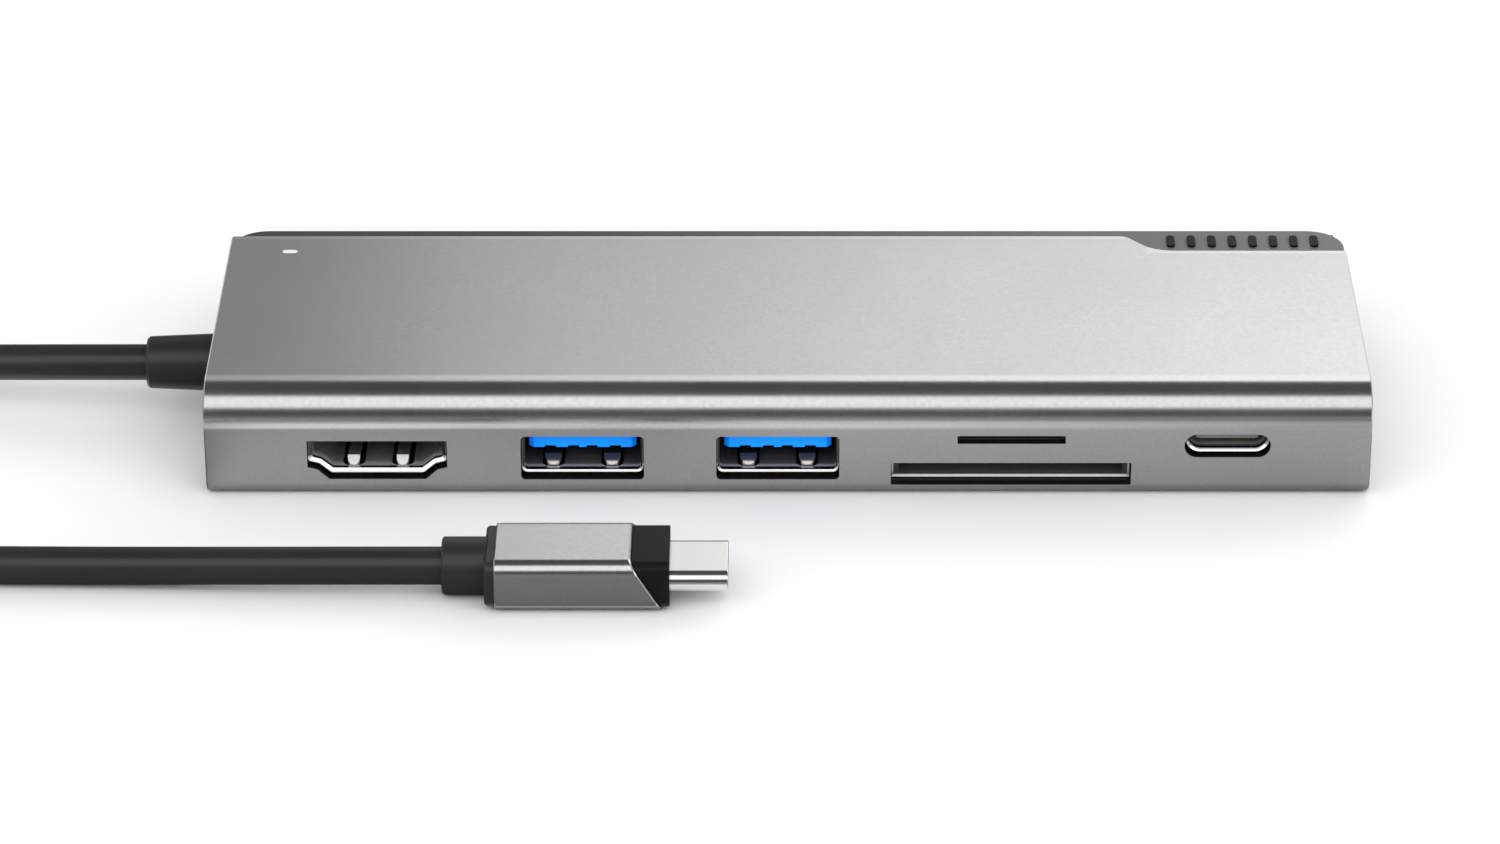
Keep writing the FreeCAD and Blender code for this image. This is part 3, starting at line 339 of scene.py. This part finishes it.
def plated_metal(name, tone, rough=0.18, dull_with_painted_shade_inside=False):
    """Bright plating; inside a socket it is dull and scuffed by plugs, and painted shade darkens it there.
    """
    m = Nodes(name)
    streaks = m.noise((400, 3000, 3000), 3.0)
    m.bump(streaks, 2 * MICRON, 0.2)
    low = tuple(c * 0.95 for c in tone)
    roughness = m.ramp(streaks, rough - 0.03, rough + 0.03)
    metal = 1.0
    colour = m.ramp(streaks, low, tone)
    if dull_with_painted_shade_inside:
        along, depth, height = m.place()
        inside = both(m, above(m, depth, -18.98, -18.9), m.ramp(depth, 1.0, 0.6, -18.3, -17.9))
        metal = m.ramp(inside, 1.0, 0.7, 0.0, 1.0)
        roughness = m.math("ADD", roughness, both(m, inside, 0.25))
        # painted shade inside the sockets
        colour = m.scaled(colour, socket_shade(m, along, depth, height))
    return m.set(Base_Color=colour, Metallic=metal, Roughness=roughness)


MATERIALS = {
    "shell_aluminium": blasted_aluminium("shell aluminium", (0.585, 0.583, 0.58), SHELL_TOP, port_face=True),
    "plug_aluminium": blasted_aluminium("plug aluminium", (0.6, 0.598, 0.595), PLUG_TOP),
    # the case plastic gets painted shade at the lead's end
    "case_plastic": moulded_plastic("case plastic", (0.135, 0.136, 0.138), 0.4, painted_shade_at_lead=0.3),
    "base_plastic": moulded_plastic("base plastic", (0.03, 0.03, 0.032)),
    "steel_screw": plated_metal("screw steel", (0.55, 0.55, 0.56), 0.3),
    "foot_rubber": moulded_plastic("foot rubber", (0.02, 0.02, 0.02), 0.7),
    "board": moulded_plastic("board mask", (0.01, 0.06, 0.03), 0.35),
    "chip_black": moulded_plastic("chip epoxy", (0.02, 0.02, 0.02), 0.5),
    "pad_silicone": moulded_plastic("pad silicone", (0.25, 0.42, 0.55), 0.6),
    "can_metal": plated_metal("can metal", (0.7, 0.7, 0.68), 0.25),
    "ceramic": moulded_plastic("ceramic", (0.4, 0.28, 0.17), 0.5),
    "lamp_white": moulded_plastic("lamp epoxy", (0.85, 0.85, 0.75), 0.3),
    "light_pipe": moulded_plastic("light pipe", (0.85, 0.87, 0.88), 0.2),
    "socket_steel": plated_metal("socket nickel", (0.78, 0.775, 0.765), dull_with_painted_shade_inside=True),
    "tongue_blue": socket_nylon("blue nylon", (0.0, 0.34, 1.0)),
    "tongue_black": moulded_plastic("black nylon", (0.06, 0.06, 0.06), 0.5),
    "contact_gold": plated_metal("contact gold", (0.85, 0.6, 0.25), 0.2),
    "spring_steel": plated_metal("spring steel", (0.7, 0.7, 0.7), 0.25),
    "slider_plastic": moulded_plastic("slider nylon", (0.6, 0.57, 0.5), 0.5),
    "cable_jacket": moulded_plastic("cable jacket", (0.02, 0.02, 0.0205), 0.36, shine=0.5),
    "boot_rubber": moulded_plastic("boot rubber", (0.019, 0.019, 0.0195), 0.4, shine=0.5),
    "core_plastic": moulded_plastic("core insulation", (0.5, 0.05, 0.04), 0.4),
    "nose_plastic": moulded_plastic("nose plastic", (0.006, 0.006, 0.006), 0.45, shine=0.16),
}

for part in frame["record"]["subparts"]:
    mesh = NODES[part["node"]].data
    mesh.materials.clear()
    mesh.materials.append(MATERIALS[part["material_slot"]])

NODES["usb_c_insert"].data.materials[0] = moulded_plastic("grey nylon", (0.2, 0.2, 0.2), 0.5)
NODES["trim_bars"].data.materials[0] = MATERIALS["nose_plastic"]


# ---------------------------------------------------------------- lead
def make_cable():
    curve = bpy.data.curves.new("lead", "CURVE")
    curve.dimensions = "3D"
    spline = curve.splines.new("NURBS")
    spline.points.add(len(CABLE_ROUTE) - 1)
    for point, place in zip(spline.points, CABLE_ROUTE):
        point.co = (*place, 1)
    spline.order_u = 3
    spline.use_endpoint_u = True
    curve.resolution_u = 24
    curve.bevel_depth = CABLE_DIAMETER / 2
    curve.bevel_resolution = 8
    curve.use_fill_caps = True
    curve.materials.append(MATERIALS["cable_jacket"])
    lead = bpy.data.objects.new("lead", curve)
    bpy.context.collection.objects.link(lead)
    return lead


lead = make_cable()
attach(lead, BODY)
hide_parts("cable")


# ---------------------------------------------------------------- spring
def make_spring():
    """The card slider's spring as a copy with its own mesh; the real spring shortens towards its fixed end
    as the slider goes in.
    """
    source = NODES["micro_sd_spring"]
    spring = bpy.data.objects.new("slider_spring", source.data.copy())
    spring.matrix_world = source.matrix_world
    bpy.context.collection.objects.link(spring)
    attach(spring, BODY)
    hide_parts("micro_sd_spring")
    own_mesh(spring)


make_spring()


# ---------------------------------------------------------------- studio
def make_floor():
    mesh = bpy.data.meshes.new("floor")
    size = FLOOR_HALF
    corners = [(-size, -size, 0), (size, -size, 0), (size, size, 0), (-size, size, 0)]
    mesh.from_pydata(corners, [], [(0, 1, 2, 3)])
    mesh.materials.append(Nodes("floor").set(Base_Color=(0.9, 0.9, 0.9, 1), Roughness=0.6))
    floor = bpy.data.objects.new("floor", mesh)
    floor.location.z = -FLOOR_DROP
    bpy.context.collection.objects.link(floor)


def softbox(name, sideways, upward, size, radiance):
    """A soft rectangle that faces the case, at an angle up from the horizon behind it."""
    angle = math.radians(upward)
    place = Vector((sideways, math.cos(angle) * LAMP_DISTANCE, math.sin(angle) * LAMP_DISTANCE))
    light = bpy.data.lights.new(name, "AREA")
    light.shape = "RECTANGLE"
    light.size, light.size_y = size
    light.energy = radiance * math.pi * size[0] * size[1]
    lamp = bpy.data.objects.new(name, light)
    lamp.location = place
    middle = Vector((sideways, 0, LAMP_AIM_HEIGHT))
    lamp.rotation_euler = (middle - place).to_track_quat("-Z", "Y").to_euler()
    bpy.context.collection.objects.link(lamp)
    lamp.visible_camera = False


def make_card():
    """Grey card on the floor in front of the object, cut around the lead and the plug's tip.

    Only reflections show it.
    """
    left, right, near = TIP_WINDOW
    faces, corners = [], []
    for x0, x1, y0, y1 in (
        (-CARD_HALF_WIDTH, EXIT_SIDE[0], near, EXIT_SIDE[1]),
        (EXIT_SIDE[0], LEAD_SIDE[0], near, LEAD_SIDE[1]),
        (LEAD_SIDE[0], left, near, CARD_EDGE),
        (right, CARD_HALF_WIDTH, near, CARD_EDGE),
        (-CARD_HALF_WIDTH, CARD_HALF_WIDTH, CARD_FRONT, near),
    ):
        start = len(corners)
        corners += [(x0, y0, 0), (x1, y0, 0), (x1, y1, 0), (x0, y1, 0)]
        faces.append(tuple(range(start, start + 4)))
    mesh = bpy.data.meshes.new("card")
    mesh.from_pydata(corners, [], faces)
    mesh.materials.append(Nodes("grey card").set(Base_Color=(0.2, 0.2, 0.2, 1), Roughness=1.0))
    card = bpy.data.objects.new("flag", mesh)
    card.location.z = CARD_LIFT
    card.visible_camera = False
    card.visible_diffuse = False
    card.visible_shadow = False
    bpy.context.collection.objects.link(card)


def white_light(tree, strength):
    light = tree.nodes.new("ShaderNodeBackground")
    light.inputs["Color"].default_value = (1, 1, 1, 1)
    light.inputs["Strength"].default_value = strength
    return light


def make_world():
    """White behind the object and a soft room on matt surfaces.

    In reflections the room is dark, but pale to both sides.
    """
    world = bpy.data.worlds.new("studio")
    bpy.context.scene.world = world
    world.use_nodes = True
    tree = world.node_tree
    tree.nodes.clear()
    where = tree.nodes.new("ShaderNodeTexCoord")
    axes = tree.nodes.new("ShaderNodeSeparateXYZ")
    sideways = tree.nodes.new("ShaderNodeMath")
    sideways.operation = "ABSOLUTE"
    glow = tree.nodes.new("ShaderNodeMapRange")
    for key, value in (
        ("From Min", SIDE_STARTS), ("From Max", SIDE_FULL), ("To Min", ROOM_GLOSS), ("To Max", SIDE_GLOSS),
    ):
        glow.inputs[key].default_value = value
    tree.links.new(where.outputs["Generated"], axes.inputs[0])
    tree.links.new(axes.outputs["X"], sideways.inputs[0])
    tree.links.new(sideways.outputs[0], glow.inputs["Value"])
    gloss = white_light(tree, ROOM_GLOSS)
    tree.links.new(glow.outputs["Result"], gloss.inputs["Strength"])
    path = tree.nodes.new("ShaderNodeLightPath")
    shader = white_light(tree, ROOM_FILL).outputs[0]
    for ray, light in (("Is Glossy Ray", gloss), ("Is Camera Ray", white_light(tree, 1.0))):
        mix = tree.nodes.new("ShaderNodeMixShader")
        tree.links.new(path.outputs[ray], mix.inputs[0])
        tree.links.new(shader, mix.inputs[1])
        tree.links.new(light.outputs[0], mix.inputs[2])
        shader = mix.outputs[0]
    out = tree.nodes.new("ShaderNodeOutputWorld")
    tree.links.new(shader, out.inputs["Surface"])


def make_camera():
    camera = bpy.data.cameras.new("camera")
    camera.lens = CAMERA_LENS
    camera.sensor_width = SENSOR_WIDTH
    camera.sensor_fit = "HORIZONTAL"
    camera.shift_x = CAMERA_SHIFT
    camera.clip_start = 0.01
    view = bpy.data.objects.new("camera", camera)
    view.location = CAMERA_PLACE
    view.rotation_euler = (math.radians(90 - CAMERA_PITCH), 0, 0)
    bpy.context.collection.objects.link(view)
    bpy.context.scene.camera = view


make_floor()
make_world()
make_camera()
softbox("front box", 0.0, FRONT_BOX_ANGLE, FRONT_BOX_SIZE, FRONT_BOX_RADIANCE)
for place, wide, radiance in BACK_STRIPS:
    softbox(f"back strip {place}", place, BACK_STRIP_ANGLE, (wide, BACK_STRIP_DEPTH), radiance)
make_card()
bpy.context.scene.view_settings.view_transform = "Standard"
